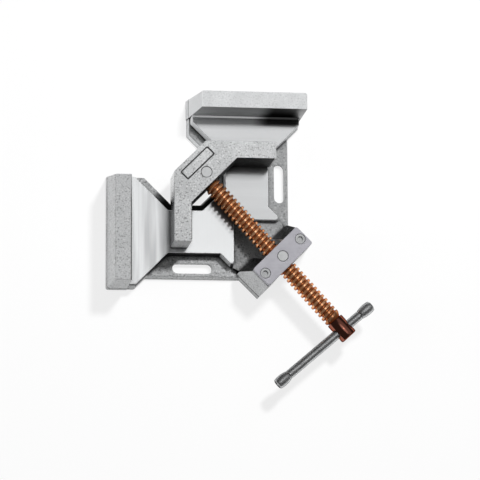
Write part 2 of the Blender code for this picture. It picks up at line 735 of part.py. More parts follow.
def build_thrust_head(finish, line):
    """The barrel that turns in the moving jaw and takes the spindle's neck."""
    radius = BARREL_DIA / 2.0
    trunnion = HEAD_TRUNNION_DIA / 2.0
    soft = EDGE_ROUND / 2.0
    profile = [(trunnion - soft, JAW_TOP - GAP), (trunnion, JAW_TOP - GAP - soft),
               (trunnion, BARREL_TOP), (radius - soft, BARREL_TOP), (radius, BARREL_TOP - soft),
               (radius, BARREL_BOTTOM + soft), (radius - soft, BARREL_BOTTOM)]
    barrel = lathe("thrust_head", profile, BORE_SIDES, finish)
    place(barrel, line, (PIN_DISTANCE, 0.0, 0.0))
    flat = box("spot_face", (-BARREL_DIA, -BARREL_DIA, BARREL_BOTTOM - soft),
               (-BARREL_FLAT, BARREL_DIA, BARREL_TOP + soft))
    cut(barrel, flat)
    bore = NECK_DIA / 2.0 + RUNNING_GAP
    socket = lathe("neck_socket", [(bore, NECK_TIP + RUNNING_GAP), (bore, -BARREL_DIA)],
                   TURN_SIDES, along=(1.0, 0.0, 0.0))
    socket.location = (0.0, 0.0, SPINDLE_HEIGHT)
    cut(barrel, socket)
    for label, side in (("left", -1.0), ("right", 1.0)):
        hole = DOWEL_DIA + 2.0 * GAP
        depth = BARREL_BOTTOM + DOWEL_LENGTH + 2.0 * GAP
        centre = (NECK_GROOVE_PLACE, side * DOWEL_SPREAD)
        cut(barrel, cylinder(label + "_dowel_hole", hole, BARREL_BOTTOM - soft, depth, PIN_SIDES, centre))
    return barrel


def build_dowel(name, side, finish, line):
    """A dowel that stands in the neck's groove and keeps the spindle in the barrel."""
    radius = DOWEL_DIA / 2.0
    soft = EDGE_ROUND / 2.0
    bottom = BARREL_BOTTOM + GAP
    top = bottom + DOWEL_LENGTH
    dowel = lathe(name, [(radius - soft, top), (radius, top - soft), (radius, bottom + soft),
                         (radius - soft, bottom)], PIN_SIDES, finish)
    place(dowel, line, (PIN_DISTANCE + NECK_GROOVE_PLACE, side * DOWEL_SPREAD, 0.0))
    return dowel


def moving_jaw_outline():
    """Plan of the moving jaw, clockwise from the outer chamfer, about its swivel axis."""
    inner_face = MOVING_FACE - LEG_WIDTH
    inner_line = INNER_OFFSET * math.sqrt(2.0)
    half = [
        (-MOVING_FACE + OUTER_CHAMFER, MOVING_FACE),
        (LEG_END, MOVING_FACE),
        (LEG_END, inner_face),
        (inner_face + inner_line, inner_face),
    ]
    return half + mirrored(half)


def build_moving_jaw(finish, pivot):
    """The L-shaped jaw: bored from below, open to the spindle, a bare panel on top."""
    soft = EDGE_ROUND
    bottom = PAD_TOP + GAP
    jaw = stacked_outline("moving_jaw", moving_jaw_outline(), [
        (bottom, soft / 2.0), (bottom + soft / 2.0, 0.0), (JAW_TOP - soft, 0.0),
        (JAW_TOP, soft)], finish, MOVING_ROUND)
    place(jaw, pivot)
    bore = BARREL_DIA + 2.0 * RUNNING_GAP
    cut(jaw, cylinder("barrel_bore", bore, PAD_TOP - soft, BARREL_TOP + RUNNING_GAP, BORE_SIDES))
    hole = HEAD_TRUNNION_DIA + 2.0 * RUNNING_GAP
    cut(jaw, cylinder("trunnion_hole_in_jaw", hole, BARREL_TOP - soft, JAW_TOP + soft, BORE_SIDES))
    mouth = [(-2.0 * INNER_OFFSET, -MOUTH_WIDTH / 2.0), (-2.0 * INNER_OFFSET, MOUTH_WIDTH / 2.0),
             (-MOUTH_REACH, MOUTH_WIDTH / 2.0), (-MOUTH_REACH, -MOUTH_WIDTH / 2.0)]
    tool = stacked_outline("spindle_mouth", mouth, [
        (SPINDLE_HEIGHT - MOUTH_HEIGHT / 2.0, 0.0), (SPINDLE_HEIGHT + MOUTH_HEIGHT / 2.0, 0.0)])
    tool.rotation_euler = (0.0, 0.0, DIAGONAL_ANGLE)
    cut(jaw, tool)
    far = PANEL_PLACE + PANEL_WIDTH
    panel = [(PANEL_PLACE, -PANEL_LENGTH / 2.0), (PANEL_PLACE, PANEL_LENGTH / 2.0),
             (far, PANEL_LENGTH / 2.0), (far, -PANEL_LENGTH / 2.0)]
    floor = JAW_TOP - PANEL_DEPTH
    recess = stacked_outline("panel_recess", panel, [(floor, 0.0), (JAW_TOP + soft, 0.0)],
                             radius=MOVING_ROUND, steps=SMALL_CORNER_STEPS)
    field = stacked_outline("panel_field", panel, [
        (floor - soft, PANEL_GROOVE), (JAW_TOP, PANEL_GROOVE)],
        radius=MOVING_ROUND, steps=SMALL_CORNER_STEPS)
    for guide in (recess, field):
        guide.rotation_euler = (0.0, 0.0, DIAGONAL_ANGLE)
    cut(jaw, recess)
    join(jaw, field)
    return jaw


def knob_profile():
    """The bulging side of a knob, from its chamfered outer end to its inner end."""
    half = KNOB_LENGTH / 2.0
    soft = EDGE_ROUND / 2.0
    profile = [(KNOB_END_DIA / 2.0 - soft, half)]
    for step in range(KNOB_STEPS + 1):
        along = 1.0 - 2.0 * step / KNOB_STEPS
        bulge = KNOB_END_DIA + (KNOB_DIA - KNOB_END_DIA) * (1.0 - along * along)
        profile.append((bulge / 2.0, (half - soft) * along - soft * (1.0 - along) / 2.0))
    return profile


def build_handle(finish, handle):
    """The sliding bar and its two barrel-shaped knobs, along Y."""
    radius = BAR_DIA / 2.0
    spigot = SPIGOT_DIA / 2.0
    inset = KNOB_LENGTH - KNOB_SOCKET + GAP
    step = KNOB_LENGTH + GAP
    bar = lathe("handle_bar", [
        (spigot, BAR_LONG_SIDE - inset), (spigot, BAR_LONG_SIDE - step),
        (radius, BAR_LONG_SIDE - step), (radius, step - BAR_SHORT_SIDE),
        (spigot, step - BAR_SHORT_SIDE), (spigot, inset - BAR_SHORT_SIDE)],
        TURN_SIDES, finish, along=(0.0, 1.0, 0.0))
    place(bar, handle)
    half = KNOB_LENGTH / 2.0
    for name, reach, side in (("handle_knob_long_side", BAR_LONG_SIDE, 1.0),
                              ("handle_knob_short_side", BAR_SHORT_SIDE, -1.0)):
        outwards = (0.0, side, 0.0)
        knob = lathe(name, knob_profile(), TURN_SIDES, finish, along=outwards)
        place(knob, handle, (0.0, side * (reach - half), 0.0))
        bore = spigot + GAP
        cut(knob, lathe(name + "_socket", [(bore, KNOB_SOCKET - half), (bore, -KNOB_LENGTH)],
                        TURN_SIDES, along=outwards))


def build_clamp():
    """Build every piece in its place, under guides that stand on the joints' axes."""
    clear_scene()
    finishes = make_materials()
    build_casting(finishes["casting"])
    build_strap(finishes["strap"])
    build_screw("strap_screw_left", -1.0, finishes["steel"])
    build_screw("strap_screw_right", 1.0, finishes["steel"])
    line = empty("spindle_line", turn=SPINDLE_ANGLE)
    build_nut(finishes["steel"], line)
    build_spindle(finishes["copper"], line)
    build_thrust_head(finishes["steel"], line)
    build_dowel("neck_dowel_left", -1.0, finishes["steel"], line)
    build_dowel("neck_dowel_right", 1.0, finishes["steel"], line)
    pivot = empty("jaw_pivot", line, (PIN_DISTANCE, 0.0, 0.0), -SPINDLE_ANGLE)
    build_moving_jaw(finishes["casting"], pivot)
    hub = (PIN_DISTANCE - HEAD_END + BAR_PLACE, 0.0, SPINDLE_HEIGHT)
    handle = empty("handle_hub", line, hub, BAR_LEAN)
    build_handle(finishes["dark"], handle)


build_clamp()
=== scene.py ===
"""Looks of the corner clamp: finishes, finer turned pieces, floor, lights and camera."""
import math

import bmesh
import bpy
from mathutils import Matrix, Vector


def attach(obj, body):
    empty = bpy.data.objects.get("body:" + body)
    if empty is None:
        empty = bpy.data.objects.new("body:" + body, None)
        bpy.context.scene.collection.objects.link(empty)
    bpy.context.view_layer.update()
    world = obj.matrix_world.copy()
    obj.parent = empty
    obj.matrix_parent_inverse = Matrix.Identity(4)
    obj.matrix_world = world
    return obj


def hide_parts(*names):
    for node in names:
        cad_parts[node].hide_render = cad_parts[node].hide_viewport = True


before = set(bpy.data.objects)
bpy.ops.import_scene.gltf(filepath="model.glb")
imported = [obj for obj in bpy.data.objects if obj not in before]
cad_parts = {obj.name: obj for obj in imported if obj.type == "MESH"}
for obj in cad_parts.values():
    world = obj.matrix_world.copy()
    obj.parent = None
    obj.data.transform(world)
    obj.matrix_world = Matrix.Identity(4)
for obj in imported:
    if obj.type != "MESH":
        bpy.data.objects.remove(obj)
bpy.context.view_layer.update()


# Places of the clamp, in metres in the row frame, whose middle is the nut's swivel axis
JAW_TOP = 0.059
PAD_TOP = 0.022
BELOW_PADS = PAD_TOP - 0.0005
WORK_FACE = 0.1451
SCREW_REACH = 0.024 * math.sqrt(0.5)
GAP = 0.0003
RUNNING_GAP = 0.0004

# The spindle, measured back along its line from the moving jaw's pin
SPINDLE_HEIGHT = 0.037
SPINDLE_ANGLE = math.radians(132.2)
PIN_DISTANCE = 0.109
SPINDLE_RADIUS = 0.00875
ROOT_RADIUS = 0.00645
PITCH = 0.005
CREST = 0.0021
ROOT_FLAT = 0.0014
NECK_PLACE = -0.0106
HEAD_FRONT = -0.1877
HEAD_END = -0.209
BURNT = (-0.190, -0.168)
BAR_PLACE = 0.0095
BAR_LEAN = math.radians(-2.0)
BAR_HOLE_RADIUS = 0.00525

# The moving jaw, measured from its pin
LEG_END = 0.0679
JAW_FACE = 0.0311
LEG_THICKNESS = 0.0170

LINE = Matrix.Rotation(SPINDLE_ANGLE, 4, "Z")
PIVOT = LINE @ Vector((PIN_DISTANCE, 0.0, 0.0))
STRAIGHT_HUB = LINE @ Matrix.Translation((PIN_DISTANCE + HEAD_END + BAR_PLACE, 0.0, SPINDLE_HEIGHT))
HUB = STRAIGHT_HUB @ Matrix.Rotation(BAR_LEAN, 4, "Z")

# Where the finishes and the painted dark reflection change: from and to, along X unless said otherwise
CLOUDED_PAD = (-0.098, -0.084)
# Painted dark reflection: the upper work face black towards its right end, and its mirror image on the pad in
# front of it
DARK_REFLECTION_START = (-0.022, -0.004)
DARK_REFLECTION_END = (0.014, 0.0255)
MIRRORED_DARK_REFLECTION_X = (-0.026, -0.006)
MIRRORED_DARK_REFLECTION_Y = (0.1335, 0.1390)
FILLET_TILT = math.radians(8.0)

SHARP = math.radians(32.0)
TURNED_SIDES = 48
COOL = (0.985, 1.0, 1.01)

# The photograph's camera
IMAGE_PIXELS = 480.0
FOCAL_PIXELS = 2452.75
SENSOR_WIDTH = 36.0
CAMERA_PLACE = Vector((-0.34853, -0.41995, 2.341692))
CAMERA_AIM = Vector((-0.033447, 0.025983, 0.0))
CAMERA_ROLL = -0.007
LAMP_AIM = Vector((-0.035, 0.025, 0.03))

# Soft panels of the studio: azimuth, elevation, inner and outer reach in degrees, brightness
PANELS = ((56.0, 84.0, 12.0, 16.0, 0.90), (48.0, 60.0, 16.0, 34.0, 0.34),
          (56.0, 84.5, 1.8, 4.4, 4.6), (56.0, 84.0, 0.0, 45.0, 0.10))
STUDIO_LEVEL = 0.065


def grey(value):
    """A neutral grey."""
    return (value, value, value, 1.0)


def cool(value):
    """The slightly cool grey of bare iron."""
    return tuple(value * part for part in COOL) + (1.0,)


class Tree:
    """A material's nodes, added one call at a time."""

    def __init__(self, name):
        self.material = bpy.data.materials.new(name)
        self.material.use_nodes = True
        self.tree = self.material.node_tree
        self.shader = self.tree.nodes["Principled BSDF"]

    def add(self, kind, **settings):
        """A new node with its settings."""
        node = self.tree.nodes.new(kind)
        for key, value in settings.items():
            setattr(node, key, value)
        return node

    def feed(self, socket, value):
        """Link a socket, or set it to a plain value."""
        if isinstance(value, bpy.types.NodeSocket):
            self.tree.links.new(value, socket)
        else:
            socket.default_value = value

    def math(self, operation, first, second=0.0):
        """One sum."""
        node = self.add("ShaderNodeMath", operation=operation)
        self.feed(node.inputs[0], first)
        self.feed(node.inputs[1], second)
        return node.outputs[0]

    def both(self, first, *others):
        """Masks or amounts multiplied together."""
        for other in others:
            first = self.math("MULTIPLY", first, other)
        return first

    def either(self, first, *others):
        """The greatest of several masks."""
        for other in others:
            first = self.math("MAXIMUM", first, other)
        return first

    def over(self, value, limit):
        """1 where a value is above a limit."""
        return self.math("GREATER_THAN", value, limit)

    def under(self, value, limit):
        """1 where a value is below a limit."""
        return self.math("LESS_THAN", value, limit)

    def near(self, value, centre, reach):
        """1 where a value lies within reach of a centre."""
        return self.under(self.math("ABSOLUTE", self.math("SUBTRACT", value, centre)), reach)

    def remap(self, value, low, high, to_low=0.0, to_high=1.0, smooth=False):
        """A value carried from one span to another, held at its ends."""
        node = self.add("ShaderNodeMapRange", interpolation_type="SMOOTHSTEP" if smooth else "LINEAR")
        self.feed(node.inputs["Value"], value)
        for key, number in (("From Min", low), ("From Max", high), ("To Min", to_low), ("To Max", to_high)):
            node.inputs[key].default_value = number
        return node.outputs["Result"]

    def mix(self, factor, first, second):
        """Two colours mixed."""
        node = self.add("ShaderNodeMix", data_type="RGBA")
        self.feed(node.inputs["Factor"], factor)
        self.feed(node.inputs["A"], first)
        self.feed(node.inputs["B"], second)
        return node.outputs["Result"]

    def blend(self, factor, first, second):
        """Two numbers mixed."""
        node = self.add("ShaderNodeMix", data_type="FLOAT")
        self.feed(node.inputs["Factor"], factor)
        self.feed(node.inputs["A"], first)
        self.feed(node.inputs["B"], second)
        return node.outputs["Result"]

    def lean(self, factor, first, second):
        """Two normals mixed; a vector Mix has its sockets at these places."""
        node = self.add("ShaderNodeMix", data_type="VECTOR")
        self.feed(node.inputs["Factor"], factor)
        self.feed(node.inputs[4], first)
        self.feed(node.inputs[5], second)
        return node.outputs[1]

    def split(self, vector):
        """The three parts of a vector."""
        node = self.add("ShaderNodeSeparateXYZ")
        self.feed(node.inputs[0], vector)
        return node.outputs["X"], node.outputs["Y"], node.outputs["Z"]

    def place(self, scale=(1.0, 1.0, 1.0), turn=0.0, location=(0.0, 0.0, 0.0)):
        """The object's own coordinates, turned, moved and scaled."""
        node = self.add("ShaderNodeMapping", vector_type="POINT")
        self.feed(node.inputs["Vector"], self.add("ShaderNodeTexCoord").outputs["Object"])
        node.inputs["Location"].default_value = location
        node.inputs["Rotation"].default_value = (0.0, 0.0, turn)
        node.inputs["Scale"].default_value = scale
        return node.outputs["Vector"]

    def noise(self, scale, detail=2.0, roughness=0.5):
        """Even noise in the object's coordinates."""
        return self.stretched_noise((1.0, 1.0, 1.0), detail, roughness, scale=scale)

    def stretched_noise(self, stretch, detail, roughness, turn=0.0, scale=1.0):
        """Noise drawn out along the axis whose stretch is the least."""
        node = self.add("ShaderNodeTexNoise")
        self.feed(node.inputs["Vector"], self.place(stretch, turn))
        node.inputs["Scale"].default_value = scale
        node.inputs["Detail"].default_value = detail
        node.inputs["Roughness"].default_value = roughness
        return node.outputs["Fac"]

    def cells(self, scale):
        """Distance to the middle of the nearest random cell."""
        node = self.add("ShaderNodeTexVoronoi")
        self.feed(node.inputs["Vector"], self.place())
        node.inputs["Scale"].default_value = scale
        return node.outputs["Distance"]

    def bump(self, height, distance, strength, normal=None):
        """A normal from a height."""
        node = self.add("ShaderNodeBump")
        self.feed(node.inputs["Height"], height)
        node.inputs["Distance"].default_value = distance
        node.inputs["Strength"].default_value = strength
        if normal is not None:
            self.feed(node.inputs["Normal"], normal)
        return node.outputs["Normal"]

    def crease(self, distance, low, high):
        """1 in tight corners and under what stands close, 0 in the open."""
        node = self.add("ShaderNodeAmbientOcclusion", samples=8)
        node.inputs["Distance"].default_value = distance
        return self.remap(node.outputs["AO"], low, high, 1.0, 0.0)

    def underside(self, start, end):
        """0 to 1 as a surface turns from one upward facing to a lower one."""
        facing = self.split(self.add("ShaderNodeNewGeometry").outputs["Normal"])
        return self.remap(facing[2], start, end)

    def finish(self, colour, roughness, metallic, normal=None):
        """Link the shader and hand over the material."""
        self.feed(self.shader.inputs["Base Color"], colour)
        self.feed(self.shader.inputs["Roughness"], roughness)
        self.feed(self.shader.inputs["Metallic"], metallic)
        if normal is not None:
            self.feed(self.shader.inputs["Normal"], normal)
        return self.material


class Spot:
    """Where a shaded point lies in the row frame, and which way it faces."""

    def __init__(self, tree):
        coords = tree.add("ShaderNodeTexCoord")
        self.x, self.y, self.z = tree.split(coords.outputs["Object"])
        self.face_x, self.face_y, self.face_z = tree.split(coords.outputs["Normal"])
        half = math.sqrt(0.5)
        self.ahead = tree.both(tree.math("SUBTRACT", self.y, self.x), half)
        self.face_ahead = tree.both(tree.math("SUBTRACT", self.face_y, self.face_x), half)
        self.across = tree.math("ADD", self.x, self.y)
        self.on_upper = tree.over(self.across, 0.0)
        self.on_left = tree.math("SUBTRACT", 1.0, self.on_upper)
        self.upright = tree.near(self.face_z, 0.0, 0.5)


def cast_colour(tree, tone, speckle):
    """The sand-cast skin's colour, its dark and light specks at a strength."""
    spots = tree.noise(640.0, 1.5, 0.5)
    dark_spots = tree.both(tree.remap(spots, 0.56, 0.68, smooth=True), speckle)
    light_spots = tree.both(tree.remap(spots, 0.30, 0.42, 1.0, 0.0, smooth=True), speckle)
    base = tree.mix(tree.remap(tree.noise(55.0, 3.0, 0.55), 0.35, 0.65), tone[0], tone[1])
    base = tree.mix(dark_spots, base, tone[2])
    return tree.mix(light_spots, base, tone[3])


def cast_relief(tree):
    """The sand-cast skin's roughness and bump."""
    grain = tree.noise(1050.0, 3.0, 0.6)
    normal = tree.bump(grain, 0.00035, 0.8)
    normal = tree.bump(tree.remap(tree.cells(620.0), 0.05, 0.35), 0.00018, 0.6, normal)
    return tree.remap(grain, 0.3, 0.7, 0.42, 0.62), normal


def casting_painted_shade(tree, at):
    """Painted shade: black under the left arm, round the foot, in the open corner and in the creases."""
    below_pads = tree.under(at.z, BELOW_PADS)
    wall = tree.both(tree.near(at.z, 0.0150, 0.0062), tree.under(at.face_y, -0.4),
                     tree.near(at.y, -0.006, 0.0175), tree.under(at.x, -0.031),
                     tree.over(at.face_x, -0.6))
    foot = tree.both(tree.near(at.z, 0.0092, 0.0009), at.upright)
    corner = tree.both(tree.remap(at.ahead, 0.083, 0.086), tree.remap(at.ahead, 0.120, 0.136, 1.0, 0.0),
                       tree.remap(at.across, -0.070, -0.060),
                       tree.remap(at.across, 0.016, 0.024, 1.0, 0.0), below_pads)
    crease = tree.both(tree.crease(0.006, 0.45, 0.80), below_pads)
    return tree.either(wall, foot, corner, crease)


def casting_skin(tree, at):
    """The casting's colour, darker low down, with painted light and shade, and where it is painted black."""
    light = (cool(0.61), cool(0.68), grey(0.28), grey(0.84))
    dark = (cool(0.36), cool(0.48), grey(0.12), grey(0.68))
    colour = cast_colour(tree, light, tree.blend(at.on_upper, 1.0, 0.28))
    left_top = tree.both(at.on_left, tree.over(at.z, JAW_TOP - 0.0005))
    colour = tree.mix(tree.both(left_top, 0.45), colour, cool(0.27))
    # Painted shade: a black line along the top edge of the left jaw's work face, fading towards higher Y
    edge = tree.both(tree.near(at.x, -WORK_FACE, 0.0009), tree.over(at.z, JAW_TOP - 0.0015),
                     tree.remap(at.y, 0.085, 0.045, 0.2, 0.92, smooth=True))
    colour = tree.mix(edge, colour, grey(0.01))
    # Painted light: faces turned to -X on the upper side made paler
    painted_light_on_upper_end = tree.both(at.on_upper, tree.under(at.face_x, -0.6))
    colour = tree.mix(tree.both(painted_light_on_upper_end, 0.75), colour, cool(0.90))

    low_colour = cast_colour(tree, dark, 0.8)
    low_colour = tree.mix(tree.both(at.on_upper, 0.35), low_colour, cool(0.16))
    # Painted shadow of the spindle: the web on its left side darker
    spindle_shadow_on_web = tree.both(tree.over(at.z, 0.012), tree.remap(at.across, -0.008, 0.008, 0.55, 0.0, smooth=True))
    low_colour = tree.mix(spindle_shadow_on_web, low_colour, cool(0.08))
    low = tree.both(tree.under(at.z, 0.0165), tree.over(at.face_z, 0.5))
    colour = tree.mix(tree.both(low, 0.9), colour, low_colour)

    # Painted shade: black under the left arm, round the foot, in the open corner and in the creases
    painted_shade = casting_painted_shade(tree, at)
    colour = tree.mix(tree.both(painted_shade, 0.97), colour, grey(0.006))
    # Painted shade: the cheeks' front slopes black, a little less black in patches
    shaded_cheek_front = tree.both(tree.near(at.ahead, 0.0152, 0.0068), tree.over(at.face_ahead, 0.8),
                            tree.near(at.across, 0.0, 0.052))
    shade_patches = tree.remap(tree.noise(420.0, 3.0, 0.6), 0.40, 0.62, 1.0, 0.82)
    colour = tree.mix(tree.both(shaded_cheek_front, shade_patches), colour, grey(0.004))
    return colour, tree.either(painted_shade, shaded_cheek_front)


def milled_pad(tree, at, pad, streaks):
    """The pads' colour: cloudy by the left jaw, with painted shade under what stands on them."""
    wide_x = tree.stretched_noise((9.0, 110.0, 110.0), 2.0, 0.5)
    wide_y = tree.stretched_noise((110.0, 9.0, 110.0), 2.0, 0.5)
    shade = tree.blend(at.on_upper, wide_y, wide_x)
    cloudy = tree.mix(tree.remap(shade, 0.38, 0.62), cool(0.52), cool(0.78))
    left_pad = tree.mix(tree.remap(at.x, *CLOUDED_PAD), cloudy, cool(0.82))
    upper_pad = tree.mix(tree.remap(shade, 0.35, 0.65), cool(0.61), cool(0.66))
    colour = tree.mix(at.on_upper, left_pad, upper_pad)
    ground = tree.both(tree.remap(streaks, 0.5, 0.75), tree.remap(at.x, *CLOUDED_PAD, 0.25, 0.06))
    colour = tree.mix(ground, colour, cool(0.45))
    # Painted shade: nearly black where other parts stand close over the pads
    shade_under_parts = tree.both(tree.crease(0.012, 0.35, 0.75), pad, 0.95)
    return tree.mix(shade_under_parts, colour, grey(0.012))


def casting_material():
    """Sand-cast skin with milled pads and jaw faces, a fillet's light line at the upper face's foot, painted
    light on the work faces and painted dark reflection at the upper face's right end.
    """
    tree = Tree("cast_and_milled")
    at = Spot(tree)
    # The second value marks where painted shade makes the skin black, which is metallic there
    cast, black = casting_skin(tree, at)
    cast_roughness, cast_normal = cast_relief(tree)

    pad = tree.both(tree.near(at.z, PAD_TOP, 0.0006), tree.over(at.face_z, 0.8))
    upper_face = tree.both(tree.near(at.y, WORK_FACE, 0.0004), tree.under(at.face_y, -0.8))
    left_face = tree.both(tree.near(at.x, -WORK_FACE, 0.0004), tree.over(at.face_x, 0.8))
    faces = tree.both(tree.either(upper_face, left_face), tree.over(at.z, BELOW_PADS))
    milled = tree.either(pad, faces)

    along_x = tree.stretched_noise((18.0, 900.0, 900.0), 3.0, 0.6)
    along_y = tree.stretched_noise((900.0, 18.0, 900.0), 3.0, 0.6)
    streaks = tree.blend(at.on_upper, along_y, along_x)
    bright = milled_pad(tree, at, pad, streaks)
    # Painted dark reflection: the pad strip in front of the upper face's right end made black
    right_end = tree.both(tree.remap(at.x, *MIRRORED_DARK_REFLECTION_X, smooth=True), 0.96)
    mirrored_dark_reflection = tree.both(tree.remap(at.y, *MIRRORED_DARK_REFLECTION_Y, smooth=True), right_end)
    bright = tree.mix(mirrored_dark_reflection, bright, grey(0.012))
    # The fillet's light line comes from its tilted normal; towards the right end its colour is painted dark
    # reflection
    fillet = tree.both(tree.near(at.y, WORK_FACE - 0.0009, 0.0010), pad)
    bright = tree.mix(fillet, bright, tree.mix(right_end, cool(0.50), grey(0.02)))
    # Painted dark reflection: the upper work face black and metallic towards its right end
    dark_reflection = tree.both(tree.remap(at.x, *DARK_REFLECTION_START, smooth=True),
                      tree.remap(at.x, *DARK_REFLECTION_END, 1.0, 0.35, smooth=True))
    # Painted light: the work faces paler towards their foot
    face_painted_light = tree.mix(tree.remap(at.z, 0.026, 0.050), cool(0.80), cool(0.46))
    bright = tree.mix(faces, bright, tree.mix(dark_reflection, face_painted_light, grey(0.006)))

    smooth = tree.blend(faces, tree.remap(streaks, 0.3, 0.7, 0.09, 0.16), 0.42)
    milled_metal = tree.blend(faces, 0.7, tree.blend(dark_reflection, 0.2, 1.0))
    metallic = tree.blend(milled, tree.blend(black, 0.2, 1.0), milled_metal)
    normal = tree.lean(milled, cast_normal, tree.bump(streaks, 0.00003, 0.4))
    normal = tree.lean(fillet, normal, (0.0, -math.sin(FILLET_TILT), math.cos(FILLET_TILT)))
    return tree.finish(tree.mix(milled, cast, bright), tree.blend(milled, cast_roughness, smooth),
                       metallic, normal)


def jaw_material():
    """The moving jaw's cast skin, with painted shade black in its inner corner and round its foot, milled on
    its two clamping faces.
    """
    tree = Tree("moving_jaw_cast")
    at = Spot(tree)
    tone = (cool(0.52), cool(0.61), grey(0.20), grey(0.80))
    colour = cast_colour(tree, tone, tree.blend(at.on_upper, 0.95, 0.65))
    roughness, normal = cast_relief(tree)
    colour = tree.mix(tree.both(at.on_left, 0.22), colour, cool(0.34))

    # Painted shade: the inner faces of the L and the foot of its sides black, a little less black in patches
    inner = tree.both(tree.either(tree.over(at.face_x, 0.3), tree.under(at.face_y, -0.3)),
                      tree.over(at.y, PIVOT.y - LEG_END + 0.002),
                      tree.under(at.x, PIVOT.x + LEG_END - 0.002))
    foot = tree.both(tree.under(at.z, PAD_TOP + 0.0028), at.upright)
    shade_patches = tree.remap(tree.noise(160.0, 3.0, 0.6), 0.35, 0.65, 1.0, 0.94)
    painted_shade = tree.both(tree.either(inner, foot), shade_patches)
    colour = tree.mix(painted_shade, colour, grey(0.004))

    milled = tree.either(
        tree.both(tree.under(at.face_x, -0.9), tree.under(at.x, PIVOT.x - JAW_FACE + 0.0003)),
        tree.both(tree.over(at.face_y, 0.9), tree.over(at.y, PIVOT.y + JAW_FACE - 0.0003)))
    lines = tree.stretched_noise((900.0, 900.0, 20.0), 3.0, 0.6)
    colour = tree.mix(milled, colour, tree.mix(tree.remap(lines, 0.35, 0.7), cool(0.52), cool(0.66)))
    roughness = tree.blend(milled, roughness, tree.remap(lines, 0.3, 0.7, 0.14, 0.24))

    # Painted shade: the floor of the panel's groove nearly black
    groove = tree.both(tree.near(at.ahead, 0.1211, 0.0064), tree.near(at.across, 0.0075, 0.0275),
                       tree.near(at.z, JAW_TOP - 0.0008, 0.0006), 0.9)
    colour = tree.mix(groove, colour, grey(0.02))
    metallic = tree.blend(tree.either(milled, painted_shade), 0.2, 1.0)
    return tree.finish(colour, roughness, metallic, normal)


def strap_material():
    """Drawn flat steel: even, slightly lilac, with long faint draw lines."""
    tree = Tree("drawn_strap")
    lines = tree.stretched_noise((30.0, 700.0, 500.0), 3.0, 0.6, -math.pi / 4.0)
    cloud = tree.noise(90.0)
    colour = tree.mix(tree.remap(cloud, 0.3, 0.7), (0.40, 0.395, 0.43, 1.0), (0.46, 0.455, 0.49, 1.0))
    colour = tree.mix(tree.remap(lines, 0.55, 0.8, 0.0, 0.3), colour, (0.33, 0.325, 0.35, 1.0))
    roughness = tree.remap(lines, 0.3, 0.7, 0.46, 0.56)
    return tree.finish(colour, roughness, 0.25, tree.bump(lines, 0.00003, 0.4))


def steel_material(name, low, high):
    """Turned and plated steel."""
    tree = Tree(name)
    fine = tree.noise(1500.0)
    colour = tree.mix(tree.remap(tree.noise(160.0, 3.0), 0.3, 0.7), low, high)
    return tree.finish(colour, tree.remap(fine, 0.3, 0.7, 0.36, 0.50), 0.3, tree.bump(fine, 0.00004, 0.5))


def copper_material(name, low, high, deep, edge, rough, metallic):
    """Copper plating, blackened in the thread's roots, burnt towards the head, paler on the crests, and
    blackened underneath by painted shade.
    """
    tree = Tree(name)
    along, side, rise = tree.split(tree.place(turn=-SPINDLE_ANGLE, location=(0.0, 0.0, -SPINDLE_HEIGHT)))
    out = tree.math("SQRT", tree.math("ADD", tree.both(side, side), tree.both(rise, rise)))
    root = tree.remap(out, 0.0064, 0.0078, 0.55, 0.0, smooth=True)
    burnt = tree.remap(along, PIN_DISTANCE + BURNT[0], PIN_DISTANCE + BURNT[1], 0.7, 0.0)
    fine = tree.noise(1600.0)
    # Paler crests: partly worn plating, partly painted highlight
    rubbed_and_highlit_crests = tree.both(tree.remap(out, 0.0076, 0.0086), tree.remap(tree.noise(220.0, 3.0, 0.6), 0.25, 0.6))
    colour = tree.mix(rubbed_and_highlit_crests, low, high)
    colour = tree.mix(tree.remap(fine, 0.55, 0.8, 0.0, 0.5), colour, deep)
    colour = tree.mix(tree.either(root, burnt), colour, deep)
    # Painted shade: black where the surface faces downwards
    colour = tree.mix(tree.both(tree.underside(0.05, -0.35), 0.93), colour, grey(0.006))
    tree.shader.inputs["Specular Tint"].default_value = edge
    roughness = tree.remap(fine, 0.3, 0.7, rough - 0.05, rough + 0.08)
    return tree.finish(colour, roughness, metallic, tree.bump(fine, 0.00005, 0.6))


def bar_material():
    """Steel of the handle, worn paler where hands hold it, and blackened on its sides and underneath by
    painted shade.
    """
    tree = Tree("handle_steel")
    rub = tree.stretched_noise((60.0, 60.0, 60.0), 3.0, 0.6)
    fine = tree.noise(1700.0)
    colour = tree.mix(tree.remap(rub, 0.35, 0.65), cool(0.68), cool(0.88))
    # Painted shade: black on the bar's sides and underside, fading out above them
    colour = tree.mix(tree.both(tree.underside(0.45, 0.0), 0.85), colour, grey(0.02))
    tree.shader.inputs["Specular Tint"].default_value = grey(0.06)
    roughness = tree.remap(fine, 0.3, 0.7, 0.38, 0.48)
    return tree.finish(colour, roughness, 1.0, tree.bump(fine, 0.00004, 0.6))


def make(name, bm, materials, body=None, replaced=None, transform=None):
    """Turn a bmesh into a smooth-shaded piece that rides on a body, or into a cutting tool."""
    bmesh.ops.recalc_face_normals(bm, faces=bm.faces)
    if transform is not None:
        bm.transform(transform)
    mesh = bpy.data.meshes.new(name)
    bm.to_mesh(mesh)
    bm.free()
    for finish in materials:
        mesh.materials.append(finish)
    obj = bpy.data.objects.new(name, mesh)
    bpy.context.scene.collection.objects.link(obj)
    if body is not None:
        mesh.shade_smooth()
        mesh.set_sharp_from_angle(angle=SHARP)
        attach(obj, body)
        if replaced is not None:
            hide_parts(replaced)
    return obj


